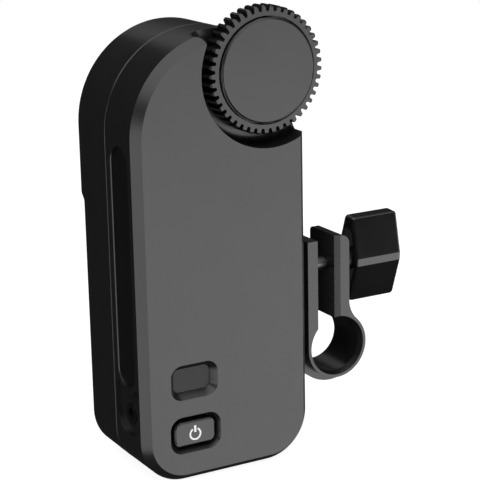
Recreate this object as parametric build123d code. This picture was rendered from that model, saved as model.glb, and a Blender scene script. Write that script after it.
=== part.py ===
from build123d import *
from math import atan, cos, pi, radians, sin, sqrt, tan
import os

# Motorized focus module for a 15 mm rod. Lengths are millimetres, X is right, Y is to the rear, Z is up.
# The layout is drawn from the focus gear's axis, with Y counted from the gear's front face.
# At the end everything is moved so that the origin lies on the rod's axis, halfway along the clamp.

# Case
case_width = 56.4
case_height = 132.8
gear_to_case_right = 12.2
gear_to_case_top = 12.7
front_ahead_of_gear = 1.8
front_shell_depth = 19.1
rear_shell_depth = 17.4
rear_bulge = 1.8
bulge_bottom_z = -40.4
bulge_step_height = 3.8
dome_shift = 1.1
corner_radius = 13.9
shoulder_slope = 19.0
shoulder_width = 11.8
shoulder_end_slope = 8.0
shoulder_bend_radius = 14.0
shoulder_corner_radius = 6.0
case_wall = 2.4
rim_bevel_width = 2.3
rim_bevel_depth = 2.9
rear_edge_radius = 0.6
seam_inset = 0.15
seam_bevel = 0.25
lip_height = 1.5
lip_root = 2.0
lip_thickness = 1.0
lip_gap = 0.1

# Scoop round the focus gear
scoop_radius = 22.47
scoop_floor_gap = 0.8
scoop_floor_fillet = 2.4
scoop_tip_radius = 2.0
scoop_corner_radius = 0.5
scoop_cut_margin = 6.0

# Focus gear and its cap
gear_module = 0.8
gear_teeth = 45
gear_turn = 4.4
gear_width = 6.0
gear_edge_chamfer = 0.55
cap_radius = 15.4
cap_proud = 0.9
cap_bevel = 0.9
cap_groove = 0.45
cap_seat_depth = 2.2
gear_rear_recess = 1.4
gear_hub_radius = 6.4
gear_rim_thickness = 2.2
gear_pressure_angle = 14.5
root_clearance = 0.25
root_rounding = 0.3

# Output shaft and its bearings
shaft_radius = 3.0
spigot_radius = 2.5
spigot_flat = 0.5
gear_screw_radius = 1.0
gear_screw_length = 9.0
gear_screw_head_radius = 2.5
gear_screw_head_height = 1.4
gear_screw_head_gap = 0.3
gear_screw_socket_radius = 1.1
gear_screw_socket_depth = 0.7
fit_clearance = 0.02
front_bearing_radius = 6.5
front_bearing_width = 5.0
rear_bearing_radius = 5.0
rear_bearing_width = 3.0
bearing_ring_thickness = 0.75
bearing_shield_inset = 0.3
bearing_floor = 1.2
bearing_boss_wall = 1.6
shaft_hole_clearance = 0.6
shaft_end_length = 0.3

# Gear train between the motor and the output shaft
train_module = 0.5
train_pressure_angle = 20.0
output_teeth = 22
idler_teeth = 60
pinion_teeth = 16
train_width = 4.0
train_backlash = 0.06
train_gap = 0.4
output_wheel_hub_radius = 4.2
output_wheel_hub_gap = 0.3
idler_direction = 234.0
pinion_direction = 265.0
idler_pin_radius = 1.5
idler_hub_radius = 3.2
idler_web_recess = 0.9
plate_thickness = 2.0
plate_margin = 6.0
post_radius = 2.7
plate_shaft_gap = 0.5
plate_lip_gap = 0.3

# Motor
motor_radius = 12.4
motor_length = 16.4
motor_shaft_radius = 1.5
motor_rear_wall = 3.0
motor_shaft_end_gap = 1.0
motor_boss_radius = 4.0
motor_boss_height = 1.2
motor_screw_circle = 8.5
motor_edge_chamfer = 0.8

# Shaft angle sensor
magnet_radius = 3.0
magnet_thickness = 1.5
sensor_gap = 0.6
sensor_chip = 4.0
sensor_chip_height = 0.8
sensor_board_thickness = 1.0
sensor_board_width = 12.0
sensor_board_top = 5.2
sensor_board_bottom = -15.0
sensor_screw_spacing = 7.6
sensor_screw_z = -12.0

# Wells in the front, each given by the width and height of its mouth and the width and depth of its slope
well_from_left = 16.8
well_wall = 1.5
window_well_from_bottom = 31.2
window_well_size = (15.6, 10.8)
window_well_corner_radius = 3.7
window_well_slope = (1.65, 2.3)
window_thickness = 1.2
window_clearance = 0.15
button_well_from_bottom = 14.8
button_well_size = (16.8, 11.5)
button_well_corner_radius = 4.0
button_well_slope = (0.9, 1.55)
button_well_depth = 6.0
button_size = (13.5, 7.5)
button_corner_radius = 2.2
button_bevel = 1.0
button_inset = 0.5
button_thickness = 3.2
button_travel = 0.6
button_stem_radius = 2.2
button_stem_clearance = 0.08
switch_size = 6.0
switch_height = 3.3
plunger_radius = 1.7
plunger_show = 0.7
plunger_inside = 0.9
plunger_room = 0.3
plunger_clearance = 0.05
guide_radius = 1.5
led_size = 2.0
led_height = 0.8
led_gap = 0.2

# Long pocket and jack pocket in the left side
pocket_front_y = 3.6
pocket_rear_y = 14.3
pocket_from_top = 31.3
pocket_above_jack = 8.6
pocket_depth = 1.2
pocket_bevel = 0.25
inlay_thickness = 0.6
inlay_clearance = 0.1
jack_band = 2.0
jack_pocket_extra = 0.3
jack_pocket_above_jack = 8.9
jack_pocket_below_jack = 6.5
jack_pocket_depth = 1.2
jack_from_bottom = 20.6
jack_flange_radius = 3.2
jack_hole_radius = 1.8
jack_hole_depth = 11.0
jack_body_length = 12.5
jack_body_width = 6.6
jack_proud = 0.3

# Circuit board and battery
board_to_jack = 3.2
board_thickness = 1.6
board_from_left = 4.4
board_from_right = 5.2
board_from_bottom = 4.1
board_below_motor = 13.1
board_boss_radius = 2.6
boss_gap = 0.3
board_screw_radius = 0.8
board_head_radius = 1.8
board_head_height = 1.2
board_screw_length = 4.0
board_screw_inset = 3.3
board_lower_screw_x = 17.0
battery_side_room = 3.0
battery_from_bottom = 15.1
battery_below_motor = 16.1
battery_thickness = 11.8
battery_corner_radius = 1.5
tray_wall = 1.2
tray_rim_height = 6.0
tray_clearance = 0.15

# Screws that hold the two halves of the case
case_screw_radius = 1.2
case_screw_head_radius = 2.2
case_screw_head_height = 1.6
case_screw_head_depth = 2.2
case_boss_radius = 3.2
case_screw_bite = 3.0
lower_screw_inset = 8.4
upper_screw_inset = 10.6
upper_screw_z = -3.6
middle_screw_inset = 6.2
middle_screw_z = -49.5
screw_clearance = 0.15
thread_clearance = 0.02
screw_end_gap = 0.3

# Screws that hold the gear train
train_screw_radius = 1.2
train_screw_head_radius = 2.2
train_screw_head_height = 1.4
train_screw_grip = 4.7
train_post_gap = 0.4
train_screw_right_x = 5.8
train_screw_upper_left_z = -14.5
train_screw_upper_right_z = -11.5
train_screw_lower_z = -37.0

# Rod clamp
clamp_front_y = 5.0
clamp_depth = 15.5
rod_to_case = 14.4
gear_to_rod_height = 89.9
bore_radius = 8.6
ring_thickness = 1.85
mouth_chamfer_width = 0.9
mouth_chamfer_depth = 1.75
left_jaw_width = 3.5
left_jaw_top_z = -55.2
slit_width = 6.8
right_jaw_width = 4.6
right_jaw_top_z = -54.7
jaw_chamfer = 1.4
jaw_corner_radius = 2.8
jaw_rear_radius = 1.5
neck_radius = 9.0
foot_setback = 4.5
foot_radius = 12.6
foot_end = 3.0
foot_screw_radius = 1.5
foot_screw_head_radius = 2.5
foot_screw_head_height = 2.0
foot_screw_y = 13.0
foot_screw_depth = 5.2
foot_screw_heights = (31.1, 6.9)

# Clamp screw and wing knob
clamp_screw_radius = 2.0
clamp_screw_height = 25.1
clamp_screw_end_gap = 0.5
washer_radius = 4.4
washer_thickness = 1.0
washer_gap = 0.05
insert_radius = 3.4
insert_neck_length = 2.9
insert_depth = 11.0
insert_end_wall = 0.8
knob_length = 16.9
knob_height = 27.4
knob_thickness = 11.6
knob_end_thickness = 4.5
knob_band_height = 2.4
knob_bevel = 0.7
knob_tilt = 4.0

# Places worked out from the sizes above
case_right = gear_to_case_right
case_left = case_right - case_width
case_top = gear_to_case_top
case_bottom = case_top - case_height
front_y = -front_ahead_of_gear
seam_y = front_y + front_shell_depth
rear_low_y = seam_y + rear_shell_depth
rear_high_y = rear_low_y + rear_bulge
dome_radius = case_width / 2 + dome_shift
dome_centre = (case_left + dome_radius, case_top - dome_radius)
shoulder_bend_x = case_right - shoulder_width
scoop_floor_y = gear_width + scoop_floor_gap
gear_tip_radius = gear_module * (gear_teeth / 2 + 1)
window_well_centre = (case_left + well_from_left, case_bottom + window_well_from_bottom)
window_y = front_y + window_well_slope[1]
window_floor_y = window_y + window_thickness
button_well_centre = (case_left + well_from_left, case_bottom + button_well_from_bottom)
button_floor_y = front_y + button_well_depth
front_bearing_y = scoop_floor_y + bearing_floor
front_bearing_end_y = front_bearing_y + front_bearing_width
plate_y = seam_y
plate_end_y = plate_y + plate_thickness
train_y = plate_end_y + train_gap
train_end_y = train_y + train_width
cover_y = train_end_y + train_gap
cover_end_y = cover_y + rear_bearing_width
shaft_end_y = cover_end_y + shaft_end_length
magnet_end_y = shaft_end_y + magnet_thickness
sensor_chip_y = magnet_end_y + sensor_gap
sensor_board_y = sensor_chip_y + sensor_chip_height
sensor_board_end_y = sensor_board_y + sensor_board_thickness
idler_distance = train_module * (output_teeth + idler_teeth) / 2
pinion_distance = train_module * (idler_teeth + pinion_teeth) / 2
idler_place = (
    idler_distance * cos(radians(idler_direction)),
    idler_distance * sin(radians(idler_direction)),
)
motor_place = (
    idler_place[0] + pinion_distance * cos(radians(pinion_direction)),
    idler_place[1] + pinion_distance * sin(radians(pinion_direction)),
)
motor_bottom_z = motor_place[1] - motor_radius
idler_tip_radius = train_module * (idler_teeth / 2 + 1)
train_screw_left_x = idler_place[0] - idler_tip_radius - train_post_gap - post_radius
train_screw_places = [
    (train_screw_left_x, train_screw_upper_left_z),
    (train_screw_right_x, train_screw_upper_right_z),
    (train_screw_right_x, train_screw_lower_z),
    (train_screw_left_x, train_screw_lower_z),
]
case_screw_places = [
    (case_left + lower_screw_inset, case_bottom + lower_screw_inset),
    (case_right - lower_screw_inset, case_bottom + lower_screw_inset),
    (case_left + upper_screw_inset, upper_screw_z),
    (case_right - middle_screw_inset, middle_screw_z),
]
case_screw_length = rear_bulge + rear_shell_depth - case_screw_head_depth + case_screw_bite
case_screw_hole_depth = rear_bulge + case_screw_bite + screw_end_gap
jack_y = (pocket_front_y + pocket_rear_y) / 2
jack_z = case_bottom + jack_from_bottom
pocket_half_width = (pocket_rear_y - pocket_front_y) / 2
pocket_top_z = case_top - pocket_from_top
pocket_bottom_z = jack_z + pocket_above_jack
jack_pocket_top_z = jack_z + jack_pocket_above_jack
jack_pocket_bottom_z = jack_z - jack_pocket_below_jack
board_y = jack_y + board_to_jack
board_end_y = board_y + board_thickness
board_left_x = case_left + board_from_left
board_right_x = case_right - board_from_right
board_top_z = motor_bottom_z - board_below_motor
board_bottom_z = case_bottom + board_from_bottom
board_screw_places = [
    (board_left_x + board_screw_inset, board_top_z - board_screw_inset),
    (board_right_x - board_screw_inset, board_top_z - board_screw_inset),
    (board_right_x - board_lower_screw_x, board_bottom_z + board_screw_inset),
]
tray_end_y = rear_low_y - case_wall
battery_end_y = tray_end_y - tray_wall
battery_y = battery_end_y - battery_thickness
battery_side = case_wall + seam_inset + battery_side_room + tray_wall + tray_clearance
battery_width = case_width - 2 * battery_side
battery_top_z = motor_bottom_z - battery_below_motor
battery_bottom_z = case_bottom + battery_from_bottom
battery_height = battery_top_z - battery_bottom_z
battery_centre = ((case_left + case_right) / 2, (battery_top_z + battery_bottom_z) / 2)
rod_x = case_right + rod_to_case
rod_z = -gear_to_rod_height
clamp_end_y = clamp_front_y + clamp_depth
clamp_middle_y = clamp_front_y + clamp_depth / 2
ring_radius = bore_radius + ring_thickness
left_jaw_x = rod_x - ring_radius
slit_left_x = left_jaw_x + left_jaw_width
slit_right_x = slit_left_x + slit_width
jaw_right_x = slit_right_x + right_jaw_width
foot_screw_places_z = [rod_z + height for height in foot_screw_heights]
clamp_screw_z = rod_z + clamp_screw_height
washer_x = jaw_right_x + washer_gap
washer_end_x = washer_x + washer_thickness
knob_x = washer_end_x + insert_neck_length
knob_end_x = knob_x + knob_length
row_place = Pos(-rod_x, -clamp_middle_y, -rod_z)


def front_slab(sketch, start_y, end_y):
    """A front view sketch, drawn in X and Z, made solid between two depths."""
    return extrude(Plane.XZ.offset(-end_y) * sketch, end_y - start_y)


def side_slab(sketch, start_x, end_x):
    """A side view sketch, drawn in Y and Z, made solid between two X places."""
    return extrude(Plane.YZ.offset(start_x) * sketch, end_x - start_x)


def rod_y(radius, start_y, end_y, place=(0, 0)):
    """A round bar along Y at a place given by X and Z."""
    middle = Pos(place[0], (start_y + end_y) / 2, place[1])
    return middle * Rot(90, 0, 0) * Cylinder(radius, end_y - start_y)


def rod_along_x(radius, start_x, end_x, y, z):
    """A round bar along X."""
    return Pos((start_x + end_x) / 2, y, z) * Rot(0, 90, 0) * Cylinder(radius, end_x - start_x)


def block(low, high):
    """A box between two corners."""
    size = [b - a for a, b in zip(low, high)]
    middle = [(a + b) / 2 for a, b in zip(low, high)]
    return Pos(*middle) * Box(*size)


def rounded_slab(centre, size, radius, start_y, end_y):
    """A plate with rounded corners that faces the front."""
    return front_slab(Pos(*centre) * RectangleRounded(size[0], size[1], radius), start_y, end_y)


def near(shape, point):
    """The corner of a flat outline that lies nearest to a point."""
    return shape.vertices().sort_by_distance((point[0], point[1], 0))[0]


# Tooth forms

def involute_turn(radius, base_radius):
    """Angle in radians that an involute has turned at a radius."""
    if radius <= base_radius:
        return 0.0
    roll = sqrt((radius / base_radius) ** 2 - 1)
    return roll - atan(roll)


def toothed_outline(module, teeth, pressure_angle, turn=0.0, backlash=0.0):
    """Outline of a spur gear with involute flanks, with a tooth centred on the angle given by turn."""
    pitch_radius = module * teeth / 2
    base_radius = pitch_radius * cos(radians(pressure_angle))
    tip_radius = pitch_radius + module
    root_radius = pitch_radius - (1 + root_clearance) * module
    flank_start_radius = root_radius + root_rounding * module
    pitch_half_angle = pi / (2 * teeth) - backlash / (2 * pitch_radius)
    base_half_angle = pitch_half_angle + involute_turn(pitch_radius, base_radius)

    def flank_point(radius, side, middle):
        angle = middle + side * (base_half_angle - involute_turn(radius, base_radius))
        return (radius * cos(angle), radius * sin(angle))

    middle_radius = (flank_start_radius + tip_radius) / 2
    edges = []
    for tooth in range(teeth):
        middle = radians(turn) + 2 * pi * tooth / teeth
        following = middle + 2 * pi / teeth
        space = middle + pi / teeth
        rise = [flank_point(r, -1, middle) for r in (flank_start_radius, middle_radius, tip_radius)]
        fall = [flank_point(r, 1, middle) for r in (tip_radius, middle_radius, flank_start_radius)]
        bottom = (root_radius * cos(space), root_radius * sin(space))
        edges.append(ThreePointArc(*rise))
        edges.append(Line(rise[2], fall[0]))
        edges.append(ThreePointArc(*fall))
        edges.append(ThreePointArc(fall[2], bottom, flank_point(flank_start_radius, -1, following)))
    return make_face(edges)


def train_outline(teeth, turn):
    """Outline of one of the inner gears."""
    return toothed_outline(train_module, teeth, train_pressure_angle, turn, train_backlash)


def meshing_turn(direction, followed_teeth, followed_turn, teeth):
    """Turn that puts a space of one gear on a tooth of the gear it meshes with.

    The direction is the angle from the followed gear's centre to this gear's centre.
    """
    phase = (direction - followed_turn) * followed_teeth / 360
    return direction + 180 - 360 / teeth * (0.5 - phase)


idler_turn = meshing_turn(idler_direction, output_teeth, 0.0, idler_teeth)
pinion_turn = meshing_turn(pinion_direction, idler_teeth, idler_turn, pinion_teeth)


# Outlines of the case

def case_outline(inset=0.0):
    """Front view of the case, drawn in from its true edge by the inset."""
    start_angle = 90 - shoulder_slope
    dome = CenterArc(dome_centre, dome_radius, start_angle, 180 - start_angle)
    shoulder = dome @ 0
    bend_z = shoulder.Y - (shoulder_bend_x - shoulder.X) * tan(radians(shoulder_slope))
    corner_z = bend_z - (case_right - shoulder_bend_x) * tan(radians(shoulder_end_slope))
    straight = Polyline(
        dome @ 1,
        (case_left, case_bottom),
        (case_right, case_bottom),
        (case_right, corner_z),
        (shoulder_bend_x, bend_z),
        shoulder,
    )
    outline = make_face([dome, straight])
    outline = fillet([near(outline, (x, case_bottom)) for x in (case_left, case_right)], corner_radius)
    outline = fillet(near(outline, (case_right, corner_z)), shoulder_corner_radius)
    outline = fillet(near(outline, (shoulder_bend_x, bend_z)), shoulder_bend_radius)
    return offset(outline, -inset) if inset else outline


def rear_side_view(inset=0.0):
    """Side view of the case's depth, with the smooth step below the thicker upper part."""
    low = rear_low_y - inset
    high = rear_high_y - inset
    step_top_z = bulge_bottom_z + bulge_step_height
    step_middle_z = bulge_bottom_z + bulge_step_height / 2
    step = Bezier((low, bulge_bottom_z), (low, step_middle_z), (high, step_middle_z), (high, step_top_z))
    sides = Polyline(
        step @ 0,
        (low, case_bottom),
        (front_y, case_bottom),
        (front_y, case_top),
        (high, case_top),
        step @ 1,
    )
    return make_face([step, sides])


def jack_pocket_outline():
    """Side view of the jack pocket, which wraps round the lower end of the long pocket."""
    half_width = pocket_half_width + jack_band + jack_pocket_extra
    end_z = jack_pocket_bottom_z + half_width
    middle_z = (jack_pocket_top_z + end_z) / 2
    shape = Pos(jack_y, middle_z) * Rectangle(2 * half_width, jack_pocket_top_z - end_z)
    shape += Pos(jack_y, end_z) * Circle(half_width)
    return shape - Pos(jack_y, pocket_bottom_z + pocket_half_width) * Circle(pocket_half_width + jack_band)


def long_pocket_outline(clearance=0.0):
    """Side view of the long pocket with its two round ends."""
    height = pocket_top_z - pocket_bottom_z
    middle = Pos(jack_y, (pocket_top_z + pocket_bottom_z) / 2)
    slot = SlotOverall(height - 2 * clearance, 2 * (pocket_half_width - clearance))
    return middle * Rot(0, 0, 90) * slot


# Case halves

def face_outline():
    """Front view of the raised face: the case less the scoop, with its two points rounded."""
    face = case_outline() - Circle(scoop_radius)
    on_scoop = [v for v in face.vertices() if abs(Vector(v.X, v.Y, 0).length - scoop_radius) < 0.001]
    right_corner, tip = min(on_scoop, key=lambda v: v.Y), max(on_scoop, key=lambda v: v.Y)
    face = fillet(tip, scoop_tip_radius)
    return fillet(near(face, (right_corner.X, right_corner.Y)), scoop_corner_radius)


def scoop_space():
    """The space round the raised face, down to the scoop's floor, with a soft edge at the floor."""
    around = case_outline(-scoop_cut_margin) - face_outline()
    space = front_slab(around, front_y - 1, scoop_floor_y)
    floor_edges = space.faces().sort_by(Axis.Y)[-1].inner_wires()[0].edges()
    return fillet(floor_edges, scoop_floor_fillet)


def front_blank():
    """The front half before it is hollowed, with its bevelled rim, its seam edge and the scoop."""
    blank = front_slab(case_outline(), front_y, seam_y)
    blank = chamfer(blank.faces().sort_by(Axis.Y)[-1].edges(), seam_bevel)
    front_face = blank.faces().sort_by(Axis.Y)[0]
    blank = chamfer(
        front_face.edges(), length=rim_bevel_width, length2=rim_bevel_depth, reference=front_face
    )
    return blank - scoop_space()


def front_cavity():
    """The hollow of the front half, with its bosses and well walls left standing."""
    hollow = front_slab(case_outline(case_wall), front_y + case_wall, seam_y)
    hollow -= rod_y(scoop_radius + case_wall, front_y, scoop_floor_y + case_wall)
    hollow -= rod_y(front_bearing_radius + bearing_boss_wall, scoop_floor_y, front_bearing_end_y)
    for place in case_screw_places:
        hollow -= rod_y(case_boss_radius, front_y, seam_y, place)
    for place in train_screw_places:
        hollow -= rod_y(post_radius, front_y, plate_y, place)
    for place in board_screw_places:
        hollow -= rod_y(board_boss_radius, front_y, board_y, place)
    for centre, size, radius, slope, floor_y in wells():
        outer = [side + 2 * well_wall for side in size]
        hollow -= rounded_slab(centre, outer, radius + well_wall, front_y, floor_y + well_wall)
    return hollow


def wells():
    """Centre, mouth size, corner radius, slope and floor depth of the two wells."""
    return [
        (window_well_centre, window_well_size, window_well_corner_radius, window_well_slope, window_floor_y),
        (button_well_centre, button_well_size, button_well_corner_radius, button_well_slope, button_floor_y),
    ]


def well_space(centre, size, radius, slope, floor_y):
    """The space of a well: a mouth with sloping sides and the straight part below it."""
    slope_width, slope_depth = slope
    slope_end_y = front_y + slope_depth
    mouth = rounded_slab(centre, size, radius, front_y - 1, slope_end_y)
    inner_face = mouth.faces().sort_by(Axis.Y)[-1]
    mouth = chamfer(inner_face.edges(), length=slope_width, length2=slope_depth, reference=inner_face)
    inner = [side - 2 * slope_width for side in size]
    return mouth + rounded_slab(centre, inner, radius - slope_width, slope_end_y, floor_y)


def long_pocket_space():
    """The space of the long pocket, with a fine bevel round its edge."""
    space = side_slab(long_pocket_outline(), case_left, case_left + pocket_depth)
    mouth = side_slab(long_pocket_outline(-pocket_bevel), case_left - 1, case_left + pocket_bevel)
    return space + chamfer(mouth.faces().sort_by(Axis.X)[-1].edges(), pocket_bevel)


def front_shell():
    shell = front_blank() - front_cavity()
    for well in wells():
        shell -= well_space(*well)
    guide_hole = guide_radius + fit_clearance
    shell -= rod_y(guide_hole, window_floor_y, window_floor_y + well_wall, window_well_centre)
    stem_hole = button_stem_radius + button_stem_clearance
    shell -= rod_y(stem_hole, button_floor_y, button_floor_y + well_wall, button_well_centre)
    shell -= rod_y(shaft_radius + shaft_hole_clearance, scoop_floor_y, front_bearing_y)
    shell -= rod_y(front_bearing_radius + fit_clearance, front_bearing_y, front_bearing_end_y)
    shell -= long_pocket_space()
    shell -= side_slab(jack_pocket_outline(), case_left, case_left + jack_pocket_depth)
    jack_hole = jack_flange_radius + fit_clearance
    shell -= rod_along_x(jack_hole, case_left, case_left + case_wall, jack_y, jack_z)
    for z in foot_screw_places_z:
        hole = foot_screw_radius + screw_clearance
        shell -= rod_along_x(hole, case_right - case_wall, case_right, foot_screw_y, z)
    for place in case_screw_places:
        shell -= rod_y(case_screw_radius + thread_clearance, seam_y - case_screw_hole_depth, seam_y, place)
    for place in train_screw_places:
        depth = train_screw_grip + screw_end_gap
        shell -= rod_y(train_screw_radius + thread_clearance, plate_y - depth, plate_y, place)
    for place in board_screw_places:
        depth = board_screw_length - board_thickness + screw_end_gap
        shell -= rod_y(board_screw_radius + thread_clearance, board_y - depth, board_y, place)
    return shell


def rear_lip():
    """Low rim of the rear half that centres it in the front half."""
    outer = case_outline(case_wall + lip_gap)
    inner = case_outline(case_wall + lip_gap + lip_thickness)
    lip = front_slab(outer - inner, seam_y - lip_height, seam_y + lip_root)
    for place in case_screw_places:
        lip -= rod_y(case_boss_radius + lip_gap, seam_y - lip_height, seam_y, place)
    for place in train_screw_places:
        lip -= rod_y(post_radius + lip_gap, seam_y - lip_height, seam_y, place)
    return lip


def rear_shell():
    depth_slab = side_slab(rear_side_view(), case_left, case_right)
    blank = front_slab(case_outline(seam_inset), seam_y, rear_high_y) & depth_slab
    rear_edges = [e for e in blank.edges() if min(v.Y for v in e.vertices()) > rear_low_y - 0.01]
    blank = fillet(rear_edges, rear_edge_radius)
    inner_side = side_slab(rear_side_view(case_wall), case_left, case_right)
    hollow = front_slab(case_outline(case_wall + seam_inset), seam_y, rear_high_y) & inner_side
    for place in case_screw_places:
        hollow -= rod_y(case_boss_radius, seam_y, rear_high_y, place)
    for place in sensor_screw_places():
        hollow -= rod_y(board_boss_radius, sensor_board_end_y, rear_high_y, place)
    shell = blank - hollow + rear_lip()
    for place in case_screw_places:
        rear_y = rear_face_y(place)
        shell -= rod_y(case_screw_radius + screw_clearance, seam_y, rear_y, place)
        shell -= rod_y(
            case_screw_head_radius + screw_clearance, rear_y - case_screw_head_depth, rear_y + 1, place
        )
    for place in sensor_screw_places():
        end_y = sensor_board_y + board_screw_length + screw_end_gap
        shell -= rod_y(board_screw_radius + thread_clearance, sensor_board_end_y, end_y, place)
    return shell


def rear_face_y(place):
    """Depth of the rear face at a place, which is more above the step."""
    return rear_high_y if place[1] > bulge_bottom_z else rear_low_y


def sensor_screw_places():
    return [(side * sensor_screw_spacing / 2, sensor_screw_z) for side in (-1, 1)]


# Focus gear, cap and output shaft

def focus_gear():
    outline = toothed_outline(gear_module, gear_teeth, gear_pressure_angle, gear_turn)
    gear = front_slab(outline, 0, gear_width)
    turned = rod_y(gear_tip_radius, 0, gear_width)
    turned = chamfer(turned.edges().filter_by(GeomType.CIRCLE), gear_edge_chamfer)
    gear &= turned
    gear -= rod_y(cap_radius + cap_groove, 0, cap_seat_depth)
    recess_outer = gear_module * gear_teeth / 2 - gear_rim_thickness
    recess = rod_y(recess_outer, gear_width - gear_rear_recess, gear_width)
    gear -= recess - rod_y(gear_hub_radius, gear_width - gear_rear_recess, gear_width)
    return gear - shaft_spigot(fit_clearance)


def shaft_spigot(clearance=0.0):
    """The flatted front end of the shaft that drives the gear."""
    radius = spigot_radius + clearance
    spigot = rod_y(radius, cap_seat_depth, gear_width)
    flat_z = spigot_radius - spigot_flat + clearance
    return spigot - block((-radius, cap_seat_depth, flat_z), (radius, gear_width, radius))


def gear_cap():
    cap = rod_y(cap_radius, -cap_proud, cap_seat_depth)
    front_edge = cap.edges().filter_by(GeomType.CIRCLE).sort_by(Axis.Y)[0]
    cap = chamfer(front_edge, cap_bevel)
    room_radius = gear_screw_head_radius + gear_screw_head_gap
    room_depth = gear_screw_head_height + gear_screw_head_gap
    return cap - rod_y(room_radius, cap_seat_depth - room_depth, cap_seat_depth)


def gear_screw():
    """Low head screw that holds the gear against the shaft's shoulder."""
    head_y = cap_seat_depth - gear_screw_head_height
    screw = rod_y(gear_screw_head_radius, head_y, cap_seat_depth)
    screw -= rod_y(gear_screw_socket_radius, head_y, head_y + gear_screw_socket_depth)
    return screw + rod_y(gear_screw_radius, cap_seat_depth, cap_seat_depth + gear_screw_length)


def gear_shaft():
    shaft = shaft_spigot() + rod_y(shaft_radius, gear_width, shaft_end_y)
    hole_end = cap_seat_depth + gear_screw_length + screw_end_gap
    return shaft - rod_y(gear_screw_radius + thread_clearance, cap_seat_depth, hole_end)


def ball_bearing(outer_radius, width, start_y):
    """Two rings with the balls between them, on the output shaft."""
    end_y = start_y + width
    bore = shaft_radius + fit_clearance
    inner_edge = bore + bearing_ring_thickness
    outer_edge = outer_radius - bearing_ring_thickness
    rings = rod_y(outer_radius, start_y, end_y) - rod_y(bore, start_y, end_y)
    for groove_y in (start_y, end_y - bearing_shield_inset):
        groove = rod_y(outer_edge, groove_y, groove_y + bearing_shield_inset)
        rings -= groove - rod_y(inner_edge, groove_y, groove_y + bearing_shield_inset)
    return rings


def output_wheel():
    """Small driven wheel with a long hub that rests against the front bearing."""
    wheel = front_slab(train_outline(output_teeth, 0.0), train_y, train_end_y)
    wheel += rod_y(output_wheel_hub_radius, front_bearing_end_y + output_wheel_hub_gap, train_y)
    return wheel - rod_y(shaft_radius + fit_clearance, front_bearing_end_y, train_end_y)


def encoder_magnet():
    return rod_y(magnet_radius, shaft_end_y, magnet_end_y)


# Gear train and motor

def train_plate_outline(margin):
    """Outline of the gear train's plates: the screw places and the output axis with room round them."""
    corners = [train_screw_places[0], (0, 0)] + train_screw_places[1:]
    outline = offset(make_face(Polyline(*corners, close=True)), margin)
    for place in case_screw_places:
        outline -= Pos(*place) * Circle(case_boss_radius + boss_gap)
    return outline & case_outline(case_wall + lip_gap + lip_thickness + plate_lip_gap)


def motor_screw_places():
    return [
        (motor_place[0] + side * motor_screw_circle, motor_place[1]) for side in (-1, 1)
    ]


def gearbox_plate():
    """Plate between the motor and the gears."""
    plate = front_slab(train_plate_outline(plate_margin), plate_y, plate_end_y)
    plate -= rod_y(output_wheel_hub_radius + plate_shaft_gap, plate_y, plate_end_y)
    plate -= rod_y(motor_boss_radius + fit_clearance, plate_y, plate_end_y, motor_place)
    plate -= rod_y(idler_pin_radius + fit_clearance, plate_y, plate_end_y, idler_place)
    for place in train_screw_places:
        plate -= rod_y(train_screw_radius + screw_clearance, plate_y, plate_end_y, place)
    for place in motor_screw_places():
        plate -= rod_y(board_screw_radius + screw_clearance, plate_y, plate_end_y, place)
    return plate


def gearbox_cover():
    """Rear plate of the gear train, with its posts and the seat of the rear bearing."""
    cover = front_slab(train_plate_outline(plate_margin), cover_y, cover_end_y)
    for place in train_screw_places:
        cover += rod_y(post_radius, plate_end_y, cover_y, place)
        cover -= rod_y(train_screw_radius + screw_clearance, plate_end_y, cover_end_y, place)
    cover -= rod_y(rear_bearing_radius + fit_clearance, cover_y, cover_end_y)
    cover -= rod_y(idler_pin_radius + fit_clearance, cover_y, cover_end_y, idler_place)
    return cover


def gearbox_screws():
    """Screws from the rear plate through the posts into the case."""
    screws = []
    for place in train_screw_places:
        head = rod_y(train_screw_head_radius, cover_end_y, cover_end_y + train_screw_head_height, place)
        shank = rod_y(train_screw_radius, plate_y - train_screw_grip, cover_end_y, place)
        screws.append(head + shank)
    return screws


def idler_gear():
    gear = front_slab(train_outline(idler_teeth, idler_turn), 0, train_width)
    recess_outer = train_module * idler_teeth / 2 - gear_rim_thickness
    for start_y in (0, train_width - idler_web_recess):
        ring = rod_y(recess_outer, start_y, start_y + idler_web_recess)
        gear -= ring - rod_y(idler_hub_radius, start_y, start_y + idler_web_recess)
    gear -= rod_y(idler_pin_radius + 2 * fit_clearance, 0, train_width)
    return Pos(idler_place[0], train_y, idler_place[1]) * gear


def idler_pin():
    return rod_y(idler_pin_radius, plate_y, cover_end_y, idler_place)


def motor_pinion():
    pinion = front_slab(train_outline(pinion_teeth, pinion_turn), 0, train_width)
    pinion -= rod_y(motor_shaft_radius + fit_clearance, 0, train_width)
    return Pos(motor_place[0], train_y, motor_place[1]) * pinion


def motor_can():
    """Body of the gear motor with its centring boss."""
    start_y = plate_y - motor_length
    can = rod_y(motor_radius, start_y, plate_y, motor_place)
    can = chamfer(can.edges().filter_by(GeomType.CIRCLE), motor_edge_chamfer)
    can += rod_y(motor_boss_radius, plate_y, plate_y + motor_boss_height, motor_place)
    bore = motor_shaft_radius + 2 * fit_clearance
    can -= rod_y(bore, start_y + motor_rear_wall, plate_y + motor_boss_height, motor_place)
    screw_depth = board_screw_length - plate_thickness + screw_end_gap
    for place in motor_screw_places():
        can -= rod_y(board_screw_radius + thread_clearance, plate_y - screw_depth, plate_y, place)
    return can


def motor_shaft():
    start_y = plate_y - motor_length + motor_rear_wall + motor_shaft_end_gap
    return rod_y(motor_shaft_radius, start_y, train_end_y, motor_place)


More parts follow.
